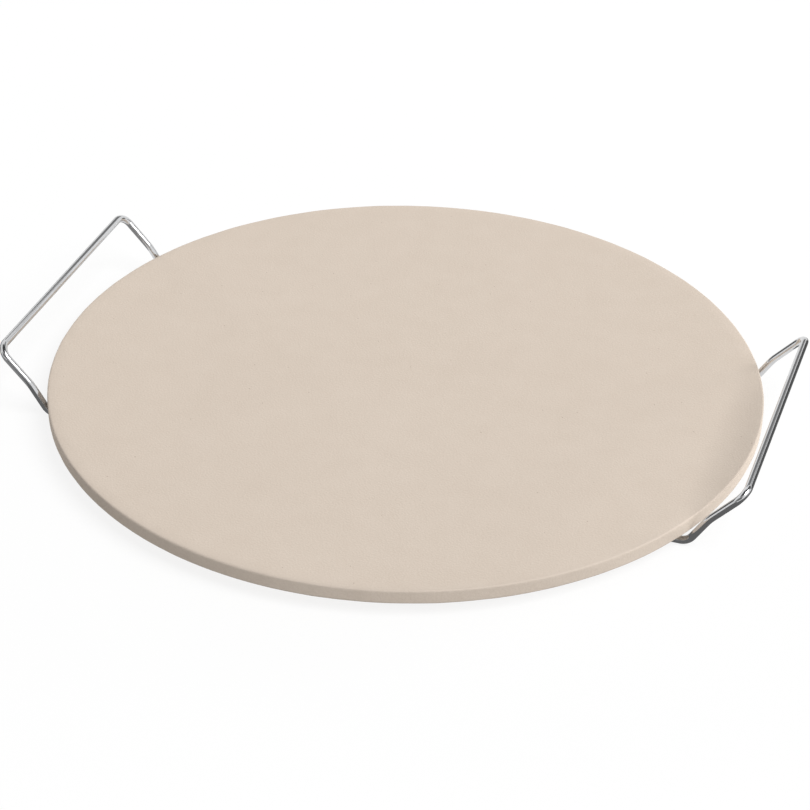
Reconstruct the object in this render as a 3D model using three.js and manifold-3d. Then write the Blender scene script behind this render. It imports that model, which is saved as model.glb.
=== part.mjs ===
// Round baking stone on a low rack of bent chromed wire, with a raised carrying handle at each end.
// Millimetres, +Z up. The origin is on the table under the middle of the stone, and +X points to
// the right handle.

import * as THREE from 'three';
import { mergeVertices } from 'three/addons/utils/BufferGeometryUtils.js';
import Module from 'manifold-3d';

// Baking stone: a pressed and fired disc that lies loose on the rack
const STONE_DIAMETER = 330;
const STONE_THICKNESS = 7;
const STONE_EDGE_RADIUS = 1;

// Handle wires: each is bent into a grip, two legs and two rails that run under the stone
const HANDLE_WIRE_DIAMETER = 3.5;
const RAIL_SPACING = 136; // from centre line to centre line, for the rails and the legs alike
const GRIP_RISE = 29; // from the rails' centre line up to the grip's
const KNEE_RISE = 13.2; // from the rails' centre line up to the slight bend in each leg
const LOWER_LEG_ANGLE = 58; // degrees above the level
const UPPER_LEG_ANGLE = 47.5; // degrees above the level
const FOOT_BEND_RADIUS = 6; // bend radii are those of the centre line
const KNEE_BEND_RADIUS = 20;
const CORNER_BEND_RADIUS = 6;
const STONE_PLAY = 0.8; // least gap between the stone's edge and each leg

// Cross wires: straight wires across the rails, which carry the stone
const CROSS_WIRE_DIAMETER = 3.5;
const CROSS_WIRE_LENGTH = 220;
const CROSS_WIRE_SPACING = 130;
const CROSS_WIRE_CHAMFER = 0.4; // at the two deburred ends

// Resistance welds: where a cross wire is sunk on to a rail, and where two rails meet end to end
const WELD_SETDOWN = 0.35; // how far a cross wire sinks towards the rail
const WELD_GAP = 0.3; // joint line between two welded wires
const WELD_WIDTH = 5; // bead of metal squeezed out round a crossing
const WELD_HEIGHT = 3;

// Fineness of the round surfaces
const STONE_SIDES = 128;
const EDGE_ARC_DIVISIONS = 3;
const WIRE_SIDES = 16;
const BEND_STEP = 12; // degrees
const WELD_SIDES = 16;
const WELD_RINGS = 10;

// Levels and places that follow from the sizes
const wireRadius = HANDLE_WIRE_DIAMETER / 2;
const crossRadius = CROSS_WIRE_DIAMETER / 2;
const railLevel = wireRadius;
const weldLevel = railLevel + wireRadius - WELD_SETDOWN / 2;
const crossLevel = railLevel + wireRadius - WELD_SETDOWN + crossRadius;
const stoneLevel = crossLevel + crossRadius;
const railSide = RAIL_SPACING / 2;

// The legs lean outwards, so they come nearest to the stone at its rounded lower edge. Their place
// follows from the stone's size: the edge's round, the play and the wire lie side by side there.
const lowerSlope = THREE.MathUtils.degToRad(LOWER_LEG_ANGLE);
const upperSlope = THREE.MathUtils.degToRad(UPPER_LEG_ANGLE);
const edgeRoundReach = STONE_DIAMETER / 2 - STONE_EDGE_RADIUS;
const edgeRoundLevel = stoneLevel + STONE_EDGE_RADIUS;
const legOffset = (STONE_EDGE_RADIUS + STONE_PLAY + wireRadius) / Math.sin(lowerSlope);
const legPlace = Math.sqrt((edgeRoundReach + legOffset) ** 2 - railSide ** 2);
const footPlace = legPlace - (edgeRoundLevel - railLevel) / Math.tan(lowerSlope);
const kneePlace = footPlace + KNEE_RISE / Math.tan(lowerSlope);
const gripPlace = kneePlace + (GRIP_RISE - KNEE_RISE) / Math.tan(upperSlope);
const kneeLevel = railLevel + KNEE_RISE;
const gripLevel = railLevel + GRIP_RISE;

const stoneware = { color: 0xd8cabd, roughness: 0.92, metalness: 0 };
const chrome = { color: 0xc9cacc, roughness: 0.12, metalness: 1 };

const wasm = await Module();
wasm.setup();

// Centre line of a bent wire: straight stretches joined by round bends. It is sampled at the ends
// of the straight stretches and every few degrees round each bend.
class BentWire extends THREE.Curve {
  constructor(start, bends, end) {
    super();
    const corners = [start, ...bends.map((bend) => bend.at), end];
    this.stations = [];
    this.addStation(start, corners[1].clone().sub(start).normalize());
    bends.forEach((bend, i) => this.addBend(corners[i], bend, corners[i + 2]));
    this.addStation(end, end.clone().sub(corners.at(-2)).normalize());
  }

  get steps() {
    return this.stations.length - 1;
  }

  addStation(point, tangent) {
    this.stations.push({ point, tangent });
  }

  addBend(before, { at, radius }, after) {
    const inward = at.clone().sub(before).normalize();
    const outward = after.clone().sub(at).normalize();
    const turn = inward.angleTo(outward);
    const axis = inward.clone().cross(outward).normalize();
    const first = at.clone().addScaledVector(inward, -radius * Math.tan(turn / 2));
    const centre = first.clone().addScaledVector(axis.clone().cross(inward), radius);
    const steps = Math.ceil(turn / THREE.MathUtils.degToRad(BEND_STEP));
    for (let i = 0; i <= steps; i += 1) {
      const angle = (turn * i) / steps;
      const point = first.clone().sub(centre).applyAxisAngle(axis, angle).add(centre);
      this.addStation(point, inward.clone().applyAxisAngle(axis, angle));
    }
  }

  stationAt(share) {
    return this.stations[Math.round(share * this.steps)];
  }

  getPoint(share, target = new THREE.Vector3()) {
    return target.copy(this.stationAt(share).point);
  }

  getPointAt(share, target) {
    return this.getPoint(share, target);
  }

  getTangentAt(share, target = new THREE.Vector3()) {
    return target.copy(this.stationAt(share).tangent);
  }
}

// Section of a round wire: a polygon whose opposite flats lie one diameter apart.
function wireSection(diameter) {
  const cornerReach = diameter / 2 / Math.cos(Math.PI / WIRE_SIDES);
  const corners = Array.from({ length: WIRE_SIDES }, (_, i) => {
    const angle = ((i + 0.5) * 2 * Math.PI) / WIRE_SIDES;
    return new THREE.Vector2(cornerReach * Math.cos(angle), cornerReach * Math.sin(angle));
  });
  return new THREE.Shape(corners);
}

// Closed solid for a boolean, from a geometry with its shared vertices merged.
function solidOf(geometry) {
  geometry.deleteAttribute('normal');
  geometry.deleteAttribute('uv');
  const merged = mergeVertices(geometry);
  return new wasm.Manifold(new wasm.Mesh({
    numProp: 3,
    vertProperties: new Float32Array(merged.attributes.position.array),
    triVerts: new Uint32Array(merged.index.array),
  }));
}

function geometryOf(solid) {
  const mesh = solid.getMesh();
  const geometry = new THREE.BufferGeometry();
  geometry.setAttribute('position', new THREE.BufferAttribute(mesh.vertProperties, mesh.numProp));
  geometry.setIndex(new THREE.BufferAttribute(mesh.triVerts, 1));
  geometry.computeVertexNormals();
  return geometry;
}

// Flat disc with rounded upper and lower edges, turned about its upright axis.
function bakingStoneGeometry() {
  const reach = STONE_DIAMETER / 2 - STONE_EDGE_RADIUS;
  const low = STONE_EDGE_RADIUS;
  const high = STONE_THICKNESS - STONE_EDGE_RADIUS;
  const profile = new THREE.Path();
  profile.moveTo(0, 0);
  profile.lineTo(reach, 0);
  profile.absarc(reach, low, STONE_EDGE_RADIUS, -Math.PI / 2, 0);
  profile.absarc(reach, high, STONE_EDGE_RADIUS, 0, Math.PI / 2);
  profile.lineTo(0, STONE_THICKNESS);
  const disc = new THREE.LatheGeometry(profile.getPoints(EDGE_ARC_DIVISIONS), STONE_SIDES);
  return disc.rotateX(Math.PI / 2);
}

// The right handle's wire: from the middle of the near rail, up a leg, along the grip and back down
// to the middle of the far rail.
function handleWireGeometry() {
  const legBends = (side) => [
    { at: new THREE.Vector3(footPlace, side, railLevel), radius: FOOT_BEND_RADIUS },
    { at: new THREE.Vector3(kneePlace, side, kneeLevel), radius: KNEE_BEND_RADIUS },
    { at: new THREE.Vector3(gripPlace, side, gripLevel), radius: CORNER_BEND_RADIUS },
  ];
  const nearEnd = new THREE.Vector3(WELD_GAP / 2, -railSide, railLevel);
  const farEnd = new THREE.Vector3(WELD_GAP / 2, railSide, railLevel);
  const bends = [...legBends(-railSide), ...legBends(railSide).reverse()];
  const centreLine = new BentWire(nearEnd, bends, farEnd);
  return new THREE.ExtrudeGeometry(wireSection(HANDLE_WIRE_DIAMETER), {
    extrudePath: centreLine,
    steps: centreLine.steps,
  });
}

// Straight wire along Y with deburred ends, about the middle of its axis.
function straightWireGeometry(diameter, length, chamfer) {
  const wire = new THREE.ExtrudeGeometry(wireSection(diameter), {
    depth: length - 2 * chamfer,
    bevelEnabled: chamfer > 0,
    bevelThickness: chamfer,
    bevelSize: chamfer,
    bevelOffset: -chamfer,
    bevelSegments: 1,
  });
  wire.translate(0, 0, chamfer - length / 2);
  return wire.rotateX(Math.PI / 2);
}

// A cross wire about its own middle: the straight wire with a bead of weld metal at each rail,
// saddled over the rail there.
function crossWireGeometry() {
  const wire = straightWireGeometry(CROSS_WIRE_DIAMETER, CROSS_WIRE_LENGTH, CROSS_WIRE_CHAMFER);
  let solid = solidOf(wire);
  for (const side of [-railSide, railSide]) {
    const bead = new THREE.SphereGeometry(0.5, WELD_SIDES, WELD_RINGS);
    bead.scale(WELD_WIDTH, WELD_WIDTH, WELD_HEIGHT);
    bead.translate(0, side, weldLevel - crossLevel);
    const saddle = straightWireGeometry(HANDLE_WIRE_DIAMETER + 2 * WELD_GAP, 2 * WELD_WIDTH, 0);
    saddle.rotateZ(Math.PI / 2);
    saddle.translate(0, side, railLevel - crossLevel);
    solid = solid.add(solidOf(bead)).subtract(solidOf(saddle));
  }
  return geometryOf(solid);
}

function piece(name, geometry, finish) {
  const mesh = new THREE.Mesh(geometry, new THREE.MeshStandardMaterial(finish));
  mesh.name = name;
  return mesh;
}

// The left half of the rack is the right half turned about the upright axis.
const rack = new THREE.Group();
for (const [side, turn] of [['right', 0], ['left', Math.PI]]) {
  const handleWire = piece(`${side}_handle_wire`, handleWireGeometry(), chrome);
  const crossWire = piece(`${side}_cross_wire`, crossWireGeometry(), chrome);
  crossWire.position.set(CROSS_WIRE_SPACING / 2, 0, crossLevel);
  const half = new THREE.Group();
  half.rotation.z = turn;
  half.add(handleWire, crossWire);
  rack.add(half);
}

const bakingStone = piece('baking_stone', bakingStoneGeometry(), stoneware);
bakingStone.position.z = stoneLevel;

const pizzaStoneOnRack = new THREE.Group();
pizzaStoneOnRack.add(rack, bakingStone);

export default pizzaStoneOnRack;
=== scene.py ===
"""The looks of a round baking stone on a rack of bent chromed wire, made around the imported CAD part.

Metres, +Z up. The origin is on the table under the middle of the stone, and +X points to the right handle.
"""

import math

import bmesh
import bpy
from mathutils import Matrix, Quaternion, Vector


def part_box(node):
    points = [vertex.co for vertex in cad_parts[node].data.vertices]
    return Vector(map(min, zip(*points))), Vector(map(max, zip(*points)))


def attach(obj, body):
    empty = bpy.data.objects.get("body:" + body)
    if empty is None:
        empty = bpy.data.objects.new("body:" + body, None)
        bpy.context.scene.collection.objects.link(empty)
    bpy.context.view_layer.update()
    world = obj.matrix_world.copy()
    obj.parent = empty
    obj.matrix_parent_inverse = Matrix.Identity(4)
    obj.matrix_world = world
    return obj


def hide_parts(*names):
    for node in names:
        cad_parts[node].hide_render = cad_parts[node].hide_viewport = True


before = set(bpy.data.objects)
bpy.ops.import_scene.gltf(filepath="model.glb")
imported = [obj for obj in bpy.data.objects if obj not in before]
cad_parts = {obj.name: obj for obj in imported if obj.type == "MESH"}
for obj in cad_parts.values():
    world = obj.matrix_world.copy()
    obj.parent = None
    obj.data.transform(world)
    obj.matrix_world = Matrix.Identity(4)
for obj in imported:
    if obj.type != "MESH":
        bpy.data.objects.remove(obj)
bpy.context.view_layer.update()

# Stone
STONE_EDGE_RADIUS = 0.0010
STONE_SIDES = 720
STONE_EDGE_STEPS = 7
STONE_WALL_CUTS = 6
FLAT_RINGS = (0.0010, 0.0045)  # widths of two rings inside each flat's edge, which keep its shading level
RIM_UNEVENNESS = 0.00022  # the most by which pressing and firing have drawn the edges and the wall in
RIM_WAVE = 0.011
RIM_WAVE_OCTAVES = 3

# Wires, with the bends that the part's source gives them
WIRE_DIAMETER = 0.0035
WIRE_SIDES = 32
BEND_STEP = math.radians(6)
STRAIGHT_MARGIN = 0.0004  # short stretch next to each bend that keeps the straight part's shading straight
LOWER_LEG_ANGLE = math.radians(58)
UPPER_LEG_ANGLE = math.radians(47.5)
KNEE_RISE = 0.0132
FOOT_BEND_RADIUS = 0.006
KNEE_BEND_RADIUS = 0.020
CORNER_BEND_RADIUS = 0.006
END_ROUND = 0.0005  # at the ends of the cross wires
END_ROUND_STEPS = 4
MERGE_DISTANCE = 1e-7

# Welds
BEAD_WIDTH = 0.005
BEAD_HEIGHT = 0.003
BEAD_SEGMENTS = 32
BEAD_RINGS = 20
WELD_SETDOWN = 0.00035
UPSET_REACH = 0.0008  # how far the swelling at a butt weld reaches from the joint
UPSET_SWELL = 1.1

SHARP_ANGLE = math.radians(40)  # edges bent more than this stay sharp in all shading

# Fired stone: colours are linear, and waves and cells are counted to the metre
STONE_DARK = (0.655, 0.560, 0.471, 1.0)
STONE_PALE = (0.715, 0.620, 0.531, 1.0)
# painted shade colour, laid over the rim, the wall and the rounded edges
STONE_EDGE_SHADE = (0.610, 0.525, 0.450, 1.0)
SPECK_BROWN = (0.300, 0.225, 0.165, 1.0)
NOISE_LOW = 0.25  # noise seldom leaves this range
NOISE_HIGH = 0.75
CLOUD_WAVES = 11.0
BLOTCH_WAVES = 70.0
SAND_WAVES = 1100.0
CLOUD_TONE = 0.15  # shares in the tone, which changes most from grain to grain
BLOTCH_TONE = 0.25
SAND_TONE = 0.60
SPECK_CELLS = 190.0
SPECK_SHARE = 0.20  # of the cells hold a speck
SPECK_CORE = 0.030  # radius of a speck's dark middle, in cells
SPECK_REACH = 0.085  # radius at which it has faded out, in cells
WEAR_AND_SHADE_WIDTH = 0.0030  # how far in from the outer edge the wear and its painted shade begin
LIP_WIDTH = 0.0013  # the same for the painted shade line along the rounded edges
EDGE_WIDTH = 0.0008  # border in which the wear and the painted shade are full
LIP_FADE = 0.0004  # height over which the painted shade line fades out towards the wall
# shares of painted shade: over the worn border, and along the rounded edges
WORN_SHADE_TINT = 0.10
LIP_SHADE_TINT = 0.30
SPECK_TINT = 0.45
STONE_ROUGHNESS = 0.86
SAND_ROUGHNESS = 0.10
WORN_SMOOTHNESS = 0.06
STONE_SPECULAR = 0.35
STONE_RELIEF = 0.00012  # from the lowest point of the sandy skin to the highest
SAND_HEIGHT = 0.7  # shares in the relief: grains on shallow blotches, and specks as small pits
BLOTCH_HEIGHT = 0.3
SPECK_DEPTH = 0.5

# Plated wire
CHROME_CLEAN = (0.640, 0.645, 0.655, 1.0)
CHROME_SMUDGED = (0.590, 0.592, 0.597, 1.0)
CHROME_SCORCHED = (0.470, 0.455, 0.430, 1.0)
SMUDGE_WAVES = 60.0
SMUDGE_START = 0.45
SMUDGE_FULL = 0.75
GRAIN_WAVES = 2400.0
GRAIN_RELIEF = 0.000002
SCORCH_CORE = BEAD_WIDTH * 0.4  # distances from the middle of a weld
SCORCH_REACH = BEAD_WIDTH * 1.1
BUTT_SCORCH_REACH = UPSET_REACH * 4.0
SCORCH_TINT = 0.6
CHROME_ROUGHNESS = 0.09
SMUDGE_ROUGHNESS = 0.06
SCORCH_ROUGHNESS = 0.22

# Camera
CAMERA_AZIMUTH = math.radians(18.15)
CAMERA_ELEVATION = math.radians(33.01)
CAMERA_ROLL = math.radians(0.82)
CAMERA_DISTANCE = 1.1303
CAMERA_AIM = Vector((0.0022, -0.0074, 0.0017))
SENSOR_WIDTH = 36.0
FOCAL_LENGTH = 108.41

# Surround and floor
WHITE = (1.0, 1.0, 1.0, 1.0)
SURROUND_WHITE = 1.0  # strength where it is seen
SURROUND_FILL = 0.30  # strength where it lights
FLOOR_SIZE = 8.0
FLOOR_LEVEL = -0.0002
FLOOR_GREY = (0.60, 0.60, 0.60, 1.0)  # what the stone sees of it
FLOOR_GLOW = 0.85  # share of its white that no shadow dims
LAID_LEVEL = -0.0001  # of what lies on the floor under the rails

# Lamps: name, place, aim, width, height, watts, whether the chrome shows it. The two low ones graze
# the stone from behind, and the one under it shows its underside to a camera below the floor.
ORIGIN = (0, 0, 0)
STRAIGHT_UP = (0, 0, 1)
LAMPS = (
    ("key_lamp", (12.00, -3.90, 15.60), ORIGIN, 15.0, 15.0, 3620.0, True),
    ("right_lamp", (1.75, 1.75, 0.22), ORIGIN, 1.2, 0.36, 38.0, False),
    ("left_lamp", (-2.00, 1.50, 0.22), ORIGIN, 1.2, 0.36, 26.0, False),
    ("under_lamp", (0, 0, LAID_LEVEL), STRAIGHT_UP, 0.32, 0.32, 0.063, False),
)

# Cards that stand for the dark parts of a room: name, lowest corner, highest corner, grey
CARDS = (
    ("front_table", (-0.172, -0.60, LAID_LEVEL), (0.60, -0.02, LAID_LEVEL), 0.17),
    ("left_table", (-0.60, -0.60, LAID_LEVEL), (-0.172, 0.30, LAID_LEVEL), 0.32),
    ("right_table", (0.176, -0.02, LAID_LEVEL), (0.60, 0.55, LAID_LEVEL), 0.14),
    ("front_card", (-0.16, -0.45, 0.0), (0.10, -0.45, 0.07), 0.22),
    ("back_card", (-1.45, 2.00, 0.92), (0.50, 2.00, 1.75), 0.24),
    ("high_right_card", (0.20, 0.55, 0.33), (0.50, 0.55, 0.42), 0.40),
    ("right_card", (0.38, 0.55, 0.0), (1.05, 0.55, 0.27), 0.10),
    ("far_right_card", (0.45, 0.55, 0.42), (1.20, 0.55, 1.00), 0.15),
    ("near_room_card", (-1.50, -1.50, 0.28), (0.90, -1.50, 1.60), 0.20),
    ("left_card", (-1.50, -0.45, 0.13), (-1.50, 1.45, 0.60), 0.14),
    ("overhead_card", (-0.80, -1.30, 1.60), (0.75, 0.50, 1.60), 0.08),
    ("back_ceiling_card", (0.20, 0.50, 1.60), (1.60, 1.60, 1.60), 0.08),
)

# Sizes that follow from the frame
WIRE_RADIUS = WIRE_DIAMETER / 2
stone_low, stone_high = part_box("baking_stone")
STONE_RADIUS = (stone_high.x - stone_low.x) / 2
STONE_MIDDLE = (stone_low.z + stone_high.z) / 2
STONE_THICKNESS = stone_high.z - stone_low.z
STONE_HALF = STONE_THICKNESS / 2
STONE_WALL_HALF = STONE_HALF - STONE_EDGE_RADIUS

handle_low, handle_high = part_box("right_handle_wire")
RAIL_SIDE = handle_high.y - WIRE_RADIUS
RAIL_LEVEL = handle_low.z + WIRE_RADIUS
GRIP_PLACE = handle_high.x - WIRE_RADIUS
GRIP_LEVEL = handle_high.z - WIRE_RADIUS
KNEE_LEVEL = RAIL_LEVEL + KNEE_RISE
KNEE_PLACE = GRIP_PLACE - (GRIP_LEVEL - KNEE_LEVEL) / math.tan(UPPER_LEG_ANGLE)
FOOT_PLACE = KNEE_PLACE - KNEE_RISE / math.tan(LOWER_LEG_ANGLE)

cross_low, cross_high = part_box("right_cross_wire")
CROSS_PLACE = (cross_low.x + cross_high.x) / 2
CROSS_LENGTH = cross_high.y - cross_low.y
CROSS_LEVEL = cross_high.z - WIRE_RADIUS
BEAD_LEVEL = RAIL_LEVEL + WIRE_RADIUS - WELD_SETDOWN / 2


class Signal:
    """A socket of a node tree. Arithmetic on it adds Math nodes, and add() puts in any other node."""

    def __init__(self, tree, socket=None):
        self.tree = tree
        self.socket = socket

    def add(self, kind, settings=None, inputs=None, output=0):
        """One output of a new node, whose settings are made first and whose sockets are then filled."""
        node = self.tree.nodes.new(kind)
        for name, value in (settings or {}).items():
            setattr(node, name, value)
        for name, value in (inputs or {}).items():
            if isinstance(value, Signal):
                self.tree.links.new(value.socket, node.inputs[name])
            else:
                node.inputs[name].default_value = value
        return Signal(self.tree, node.outputs[output] if node.outputs else None)

    def other(self, output):
        """Another output of the node that this one belongs to."""
        return Signal(self.tree, self.socket.node.outputs[output])

    def calculate(self, operation, *operands):
        return self.add("ShaderNodeMath", {"operation": operation}, dict(enumerate(operands)))

    def __add__(self, value):
        return self.calculate("ADD", self, value)

    __radd__ = __add__

    def __sub__(self, value):
        return self.calculate("SUBTRACT", self, value)

    def __rsub__(self, value):
        return self.calculate("SUBTRACT", value, self)

    def __mul__(self, value):
        return self.calculate("MULTIPLY", self, value)

    __rmul__ = __mul__

    def __gt__(self, value):
        return self.calculate("GREATER_THAN", self, value)

    def __abs__(self):
        return self.calculate("ABSOLUTE", self)

    def greater(self, value):
        """The greater of two values."""
        return self.calculate("MAXIMUM", self, value)

    def noise(self, scale, detail):
        """Soft noise between 0 and 1 at this place; scale is in waves to the metre."""
        return self.add("ShaderNodeTexNoise", None, {"Vector": self, "Scale": scale, "Detail": detail})

    def rise(self, low, high):
        """0 up to low, 1 from high on, and smooth between them."""
        settings = {"interpolation_type": "SMOOTHSTEP"}
        return self.add("ShaderNodeMapRange", settings, {"Value": self, "From Min": low, "From Max": high})

    def near(self, place, core, reach):
        """1 within core of a place, 0 beyond its reach, and smooth between them."""
        return 1.0 - abs(self - place).rise(core, reach)

    def tint(self, first, second):
        """The first colour where this value is 0, the second where it is 1."""
        return self.add("ShaderNodeMix", {"data_type": "RGBA"}, {0: self, 6: first, 7: second}, output=2)

    def bump(self, depth):
        """A normal for a surface that this value, from 0 to 1, raises by up to depth."""
        return self.add("ShaderNodeBump", None, {"Strength": 1.0, "Distance": depth, "Height": self})


def new_material(name):
    """An empty material, and a Signal that adds nodes to it."""
    material = bpy.data.materials.new(name)
    material.use_nodes = True
    material.node_tree.nodes.clear()
    return material, Signal(material.node_tree)


def surface(nodes, shader):
    nodes.add("ShaderNodeOutputMaterial", None, {"Surface": shader})


def fired_stone():
    """Pressed cordierite: matte, sandy, a little cloudy, with dark mineral specks, and smoother worn edges
    that painted shade makes duller, darkest along the rounded edges.
    """
    material, nodes = new_material("fired_stone")
    place = nodes.add("ShaderNodeTexCoord", output="Object")
    flattened = nodes.add("ShaderNodeVectorMath", {"operation": "MULTIPLY"}, {0: place, 1: (1.0, 1.0, 0.0)})
    reach = nodes.add("ShaderNodeVectorMath", {"operation": "LENGTH"}, {0: flattened}, output="Value")
    height = nodes.add("ShaderNodeSeparateXYZ", None, {0: place}, output="Z")

    clouds = place.noise(CLOUD_WAVES, detail=3.0)
    blotches = place.noise(BLOTCH_WAVES, detail=4.0)
    sand = place.noise(SAND_WAVES, detail=2.0)

    # Wear over the outer border, where the wall is; the colour there also carries painted shade
    worn_and_shaded = reach.rise(STONE_RADIUS - WEAR_AND_SHADE_WIDTH, STONE_RADIUS - EDGE_WIDTH)
    # A line of painted shade along the rounded edges, fading out towards the wall
    at_edge = reach.rise(STONE_RADIUS - LIP_WIDTH, STONE_RADIUS - EDGE_WIDTH)
    off_wall = abs(height - STONE_MIDDLE).rise(STONE_WALL_HALF, STONE_WALL_HALF + LIP_FADE)
    lip_shade = at_edge * off_wall

    # Each cell draws a lot between 0 and 1, and those with a high one hold a speck.
    cells = nodes.add("ShaderNodeTexVoronoi", None, {"Vector": place, "Scale": SPECK_CELLS})
    lot = nodes.add("ShaderNodeSeparateColor", None, {0: cells.other("Color")})
    specks = (lot > 1.0 - SPECK_SHARE) * (1.0 - cells.rise(SPECK_CORE, SPECK_REACH))

    shade = clouds * CLOUD_TONE + blotches * BLOTCH_TONE + sand * SAND_TONE
    body = shade.rise(NOISE_LOW, NOISE_HIGH).tint(STONE_DARK, STONE_PALE)
    # Painted shade darkens the rim and the wall, most along the rounded edges
    rim_shaded = (worn_and_shaded * WORN_SHADE_TINT + lip_shade * LIP_SHADE_TINT).tint(body, STONE_EDGE_SHADE)
    colour = (specks * SPECK_TINT).tint(rim_shaded, SPECK_BROWN)

    relief = sand * SAND_HEIGHT + blotches * BLOTCH_HEIGHT - specks * SPECK_DEPTH
    shader = nodes.add("ShaderNodeBsdfPrincipled", None, {
        "Base Color": colour,
        "Roughness": STONE_ROUGHNESS + sand * SAND_ROUGHNESS - worn_and_shaded * WORN_SMOOTHNESS,
        "Specular IOR Level": STONE_SPECULAR,
        "Normal": relief.bump(STONE_RELIEF),
    })
    surface(nodes, shader)
    return material


def plated_wire():
    """Bright chrome plating on drawn wire: faint smudges, and duller skin around the welds."""
    material, nodes = new_material("plated_wire")
    place = nodes.add("ShaderNodeTexCoord", output="Object")
    axes = nodes.add("ShaderNodeSeparateXYZ", None, {0: place})
    along = abs(axes.other("X"))
    across = abs(axes.other("Y"))

    at_crossing = along.near(CROSS_PLACE, SCORCH_CORE, SCORCH_REACH)
    at_butt = along.near(0.0, UPSET_REACH, BUTT_SCORCH_REACH)
    at_rail = across.near(RAIL_SIDE, SCORCH_CORE, SCORCH_REACH)
    scorch = at_crossing.greater(at_butt) * at_rail

    smudge = place.noise(SMUDGE_WAVES, detail=3.0).rise(SMUDGE_START, SMUDGE_FULL)
    grain = place.noise(GRAIN_WAVES, detail=1.0)
    polish = smudge.tint(CHROME_CLEAN, CHROME_SMUDGED)

    shader = nodes.add("ShaderNodeBsdfPrincipled", None, {
        "Base Color": (scorch * SCORCH_TINT).tint(polish, CHROME_SCORCHED),
        "Metallic": 1.0,
        "Roughness": CHROME_ROUGHNESS + smudge * SMUDGE_ROUGHNESS + scorch * SCORCH_ROUGHNESS,
        "Normal": grain.bump(GRAIN_RELIEF),
    })
    surface(nodes, shader)
    return material


def deselect():
    bpy.ops.object.select_all(action="DESELECT")


def pick(piece):
    """Makes a piece the only selected one and the active one."""
    deselect()
    piece.select_set(True)
    bpy.context.view_layer.objects.active = piece


def settle(name):
    """The object just added or copied, named, with its place, turn and scale put into its mesh."""
    piece = bpy.context.object
    piece.name = name
    piece.data.name = name
    bpy.ops.object.transform_apply(location=True, rotation=True, scale=True)
    return piece


def select_where(piece, mode, test):
    """In edit mode, selects the vertices, edges or faces for which the test of middle and element holds."""
    bpy.ops.mesh.select_mode(type=mode)
    bpy.ops.mesh.select_all(action="DESELECT")
    mesh = bmesh.from_edit_mesh(piece.data)
    for element in {"VERT": mesh.verts, "EDGE": mesh.edges, "FACE": mesh.faces}[mode]:
        corners = [element] if mode == "VERT" else element.verts
        middle = sum((corner.co for corner in corners), Vector()) / len(corners)
        element.select_set(test(middle, element))
    mesh.select_flush_mode()
    bmesh.update_edit_mesh(piece.data)


def apply_modifier(piece, kind, **settings):
    modifier = piece.modifiers.new(kind.lower(), kind)
    for name, value in settings.items():
        setattr(modifier, name, value)
    bpy.context.view_layer.objects.active = piece
    bpy.ops.object.modifier_apply(modifier=modifier.name)


def smooth(piece):
    pick(piece)
    bpy.ops.object.shade_smooth_by_angle(angle=SHARP_ANGLE)


def turned_copy(piece, name):
    """A copy with its own mesh, turned half round the upright axis."""
    pick(piece)
    bpy.ops.object.duplicate()
    bpy.context.object.rotation_euler.z = math.pi
    return settle(name)


def dress(piece, body, node, material):
    """Gives a finished piece its material and its place in the frame."""
    piece.data.materials.clear()
    piece.data.materials.append(material)
    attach(piece, body)
    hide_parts(node)


def model_stone():
    """The disc: edges rounded over, then left a little uneven all round the rim."""
    def at_corner(middle, edge):
        return abs(middle.z - STONE_MIDDLE) > STONE_HALF / 2

    def on_wall(middle, edge):
        return abs(edge.verts[0].co.z - edge.verts[1].co.z) > STONE_HALF

    def is_flat(middle, face):
        return len(face.verts) == STONE_SIDES

    deselect()
    bpy.ops.mesh.primitive_cylinder_add(
        vertices=STONE_SIDES,
        radius=STONE_RADIUS,
        depth=STONE_THICKNESS,
        location=(0, 0, STONE_MIDDLE),
    )
    stone = settle("stone_disc")

    bpy.ops.object.mode_set(mode="EDIT")
    select_where(stone, "EDGE", at_corner)
    bpy.ops.mesh.bevel(offset=STONE_EDGE_RADIUS, segments=STONE_EDGE_STEPS, affect="EDGES")
    select_where(stone, "EDGE", on_wall)
    bpy.ops.mesh.subdivide(number_cuts=STONE_WALL_CUTS)
    select_where(stone, "FACE", is_flat)
    for width in FLAT_RINGS:
        bpy.ops.mesh.inset(thickness=width)
    bpy.ops.object.mode_set(mode="OBJECT")

    rim = stone.vertex_groups.new(name="rim")
    inside_edge = STONE_RADIUS - STONE_EDGE_RADIUS * 1.01  # a hair inside the rounded edge
    rim.add([v.index for v in stone.data.vertices if v.co.xy.length > inside_edge], 1.0, "REPLACE")
    unevenness = bpy.data.textures.new("firing_unevenness", "CLOUDS")
    unevenness.noise_scale = RIM_WAVE
    unevenness.noise_depth = RIM_WAVE_OCTAVES
    apply_modifier(
        stone,
        "DISPLACE",
        texture=unevenness,
        texture_coords="LOCAL",
        vertex_group="rim",
        strength=RIM_UNEVENNESS,
        mid_level=1.0,
    )
    smooth(stone)
    return stone


def draw_on(step):
    """Draws the selected end of a wire on by this much."""
    bpy.ops.mesh.extrude_region_move(TRANSFORM_OT_translate={"value": step})


def draw_straight(stretch):
    """Draws the selected end of a wire along a straight stretch, with a short margin at both ends."""
    margin = stretch.normalized() * STRAIGHT_MARGIN
    for step in (margin, stretch - margin * 2, margin):
        draw_on(step)


def bend_round(centre, axis, angle):
    """Turns the selected end of a wire round a bend. The operator turns clockwise about its axis."""
    steps = math.ceil(angle / BEND_STEP)
    bpy.ops.mesh.spin(steps=steps, angle=angle, center=centre, axis=-axis)


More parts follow.
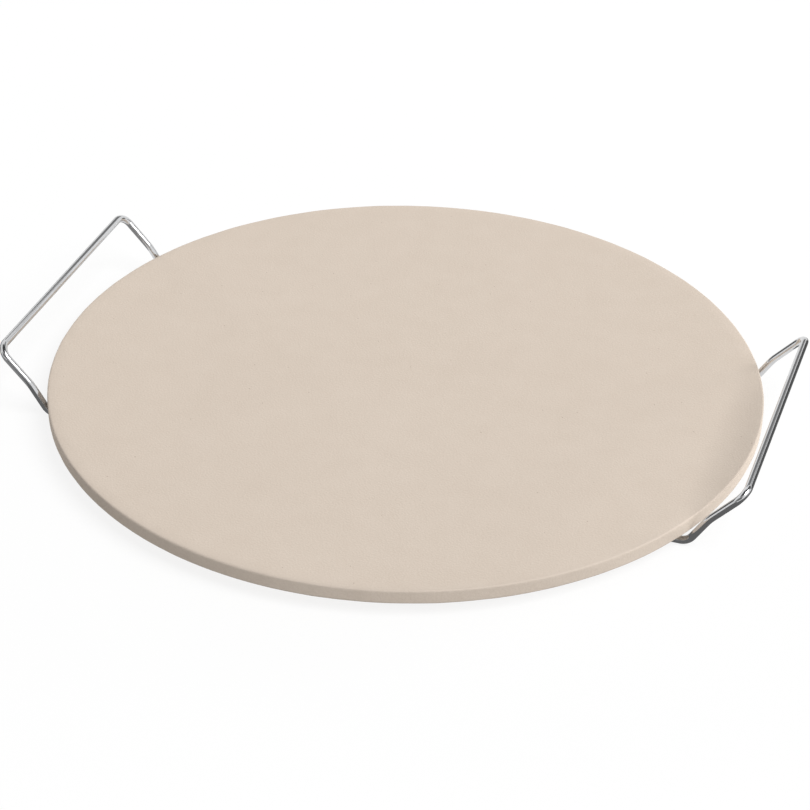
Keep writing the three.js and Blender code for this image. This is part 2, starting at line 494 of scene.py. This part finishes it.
def swell_joint(wire, side):
    """Thickens a rail's end at the butt weld, from the table up."""
    def at_joint(place, vertex):
        return place.x < UPSET_REACH / 2 and abs(place.y - side) < WIRE_DIAMETER

    select_where(wire, "VERT", at_joint)
    bpy.ops.transform.resize(
        value=(1.0, UPSET_SWELL, UPSET_SWELL),
        center_override=(0, side, RAIL_LEVEL - WIRE_RADIUS),
    )


def handle_bends():
    """The corners of the right handle's centre line, from the near rail to the far one, and their radii."""
    def leg(side):
        return [
            (Vector((FOOT_PLACE, side, RAIL_LEVEL)), FOOT_BEND_RADIUS),
            (Vector((KNEE_PLACE, side, KNEE_LEVEL)), KNEE_BEND_RADIUS),
            (Vector((GRIP_PLACE, side, GRIP_LEVEL)), CORNER_BEND_RADIUS),
        ]

    return leg(-RAIL_SIDE) + leg(RAIL_SIDE)[::-1]


def model_handle_wire():
    """The right handle: one wire from the middle of the near rail over the grip to the far rail."""
    start = Vector((0, -RAIL_SIDE, RAIL_LEVEL))
    end = Vector((0, RAIL_SIDE, RAIL_LEVEL))
    upset = Vector((UPSET_REACH, 0, 0))
    bends = handle_bends()
    next_corners = [corner for corner, radius in bends[1:]] + [end]

    deselect()
    bpy.ops.mesh.primitive_circle_add(
        vertices=WIRE_SIDES,
        radius=WIRE_RADIUS,
        location=start,
        rotation=(0, math.pi / 2, 0),
    )
    wire = settle("right_bent_wire")
    bpy.ops.object.mode_set(mode="EDIT")
    bpy.ops.mesh.select_mode(type="EDGE")
    bpy.ops.mesh.select_all(action="SELECT")
    draw_on(upset)
    reached = start + upset
    for (corner, radius), next_corner in zip(bends, next_corners):
        inward = (corner - reached).normalized()
        outward = (next_corner - corner).normalized()
        angle = inward.angle(outward)
        axis = inward.cross(outward).normalized()
        tangent_length = radius * math.tan(angle / 2)
        bend_start = corner - inward * tangent_length
        draw_straight(bend_start - reached)
        bend_round(bend_start + axis.cross(inward) * radius, axis, angle)
        reached = corner + outward * tangent_length
    draw_straight(end + upset - reached)
    draw_on(-upset)

    bpy.ops.mesh.select_all(action="SELECT")
    bpy.ops.mesh.remove_doubles(threshold=MERGE_DISTANCE)
    bpy.ops.mesh.fill_holes(sides=0)
    bpy.ops.mesh.normals_make_consistent(inside=False)
    for side in (-RAIL_SIDE, RAIL_SIDE):
        swell_joint(wire, side)
    bpy.ops.object.mode_set(mode="OBJECT")
    smooth(wire)
    return wire


def model_cross_wire():
    """The right cross wire: ends rounded over, and a bead of weld metal where it crosses each rail."""
    def at_end(middle, edge):
        return abs(middle.y) > CROSS_LENGTH / 4

    deselect()
    bpy.ops.mesh.primitive_cylinder_add(
        vertices=WIRE_SIDES,
        radius=WIRE_RADIUS,
        depth=CROSS_LENGTH,
        location=(CROSS_PLACE, 0, CROSS_LEVEL),
        rotation=(math.pi / 2, 0, 0),
    )
    wire = settle("right_support_wire")
    bpy.ops.object.mode_set(mode="EDIT")
    select_where(wire, "EDGE", at_end)
    bpy.ops.mesh.bevel(offset=END_ROUND, segments=END_ROUND_STEPS, affect="EDGES")
    bpy.ops.object.mode_set(mode="OBJECT")

    for side in (-RAIL_SIDE, RAIL_SIDE):
        deselect()
        bpy.ops.mesh.primitive_uv_sphere_add(
            segments=BEAD_SEGMENTS,
            ring_count=BEAD_RINGS,
            radius=BEAD_WIDTH / 2,
            location=(CROSS_PLACE, side, BEAD_LEVEL),
            scale=(1, 1, BEAD_HEIGHT / BEAD_WIDTH),
        )
        bead = settle("weld_bead")
        apply_modifier(wire, "BOOLEAN", object=bead, operation="UNION", solver="EXACT")
        bpy.data.objects.remove(bead)
    smooth(wire)
    return wire


def place_camera():
    ground_share = math.cos(CAMERA_ELEVATION)
    back = Vector((
        math.sin(CAMERA_AZIMUTH) * ground_share,
        -math.cos(CAMERA_AZIMUTH) * ground_share,
        math.sin(CAMERA_ELEVATION),
    ))
    turn = back.to_track_quat("Z", "Y") @ Quaternion((0, 0, 1), CAMERA_ROLL)
    bpy.ops.object.camera_add(location=CAMERA_AIM + back * CAMERA_DISTANCE, rotation=turn.to_euler())
    camera = bpy.context.object
    camera.data.sensor_width = SENSOR_WIDTH
    camera.data.lens = FOCAL_LENGTH
    bpy.context.scene.camera = camera


def seen_ray(nodes):
    """1 for rays that show the background: from the camera, off polished metal or through something clear."""
    path = nodes.add("ShaderNodeLightPath")
    seen = path.other("Is Camera Ray") + path.other("Is Glossy Ray") + path.other("Is Transmission Ray")
    return seen > 0.5


def light_world():
    """A white surround where it is seen, and a soft dim fill where it lights."""
    world = bpy.data.worlds.new("white_surround")
    world.use_nodes = True
    world.node_tree.nodes.clear()
    nodes = Signal(world.node_tree)
    strength = SURROUND_FILL + seen_ray(nodes) * (SURROUND_WHITE - SURROUND_FILL)
    background = nodes.add("ShaderNodeBackground", None, {"Color": WHITE, "Strength": strength})
    nodes.add("ShaderNodeOutputWorld", None, {"Surface": background})
    bpy.context.scene.world = world


def lay_floor():
    """A pale floor that reads white, keeps a light shadow of the stone and is clear from below."""
    deselect()
    bpy.ops.mesh.primitive_plane_add(size=FLOOR_SIZE, location=(0, 0, FLOOR_LEVEL))
    floor = settle("floor")
    material, nodes = new_material("pale_floor")
    grey_paint = nodes.add("ShaderNodeBsdfDiffuse", None, {"Color": FLOOR_GREY})
    white_paint = nodes.add("ShaderNodeBsdfDiffuse", None, {"Color": WHITE})
    glow = nodes.add("ShaderNodeEmission", None, {"Color": WHITE, "Strength": SURROUND_WHITE})
    bright = nodes.add("ShaderNodeMixShader", None, {0: FLOOR_GLOW, 1: white_paint, 2: glow})
    upper_side = nodes.add("ShaderNodeMixShader", None, {0: seen_ray(nodes), 1: grey_paint, 2: bright})
    from_below = nodes.add("ShaderNodeNewGeometry", output="Backfacing")
    clear = nodes.add("ShaderNodeBsdfTransparent")
    surface(nodes, nodes.add("ShaderNodeMixShader", None, {0: from_below, 1: upper_side, 2: clear}))
    floor.data.materials.append(material)


def add_area_lamp(name, place, aim, width, height, power, in_chrome):
    """An oval lamp that the camera does not see. A lamp for the stone alone is kept out of the chrome."""
    place = Vector(place)
    turn = (place - Vector(aim)).to_track_quat("Z", "Y")
    bpy.ops.object.light_add(type="AREA", location=place, rotation=turn.to_euler())
    lamp = bpy.context.object
    lamp.name = name
    lamp.data.shape = "ELLIPSE"
    lamp.data.size = width
    lamp.data.size_y = height
    lamp.data.energy = power
    lamp.visible_camera = False
    lamp.visible_glossy = in_chrome


def add_card(name, low, high, grey):
    """A flat card that only reflections see: it gives the wires the dark lines that polished metal has."""
    low = Vector(low)
    high = Vector(high)
    size = high - low
    if size.z == 0:
        turn = (0, 0, 0)
        spans = (size.x, size.y, 1.0)
    elif size.y == 0:
        turn = (math.pi / 2, 0, 0)
        spans = (size.x, size.z, 1.0)
    else:
        turn = (0, math.pi / 2, 0)
        spans = (size.z, size.y, 1.0)
    deselect()
    bpy.ops.mesh.primitive_plane_add(size=1.0, location=(low + high) / 2, rotation=turn)
    bpy.context.object.scale = spans
    card = settle(name)
    material, nodes = new_material(name)
    surface(nodes, nodes.add("ShaderNodeEmission", None, {"Color": (grey, grey, grey, 1.0)}))
    card.data.materials.append(material)
    card.visible_camera = False
    card.visible_diffuse = False
    card.visible_transmission = False
    card.visible_shadow = False


stone_finish = fired_stone()
wire_finish = plated_wire()
dress(model_stone(), "stone", "baking_stone", stone_finish)

right_handle = model_handle_wire()
left_handle = turned_copy(right_handle, "left_bent_wire")
dress(right_handle, "rack", "right_handle_wire", wire_finish)
dress(left_handle, "rack", "left_handle_wire", wire_finish)

right_cross = model_cross_wire()
left_cross = turned_copy(right_cross, "left_support_wire")
dress(right_cross, "rack", "right_cross_wire", wire_finish)
dress(left_cross, "rack", "left_cross_wire", wire_finish)

place_camera()
light_world()
lay_floor()
for lamp in LAMPS:
    add_area_lamp(*lamp)
for card in CARDS:
    add_card(*card)
bpy.context.scene.view_settings.view_transform = "Standard"
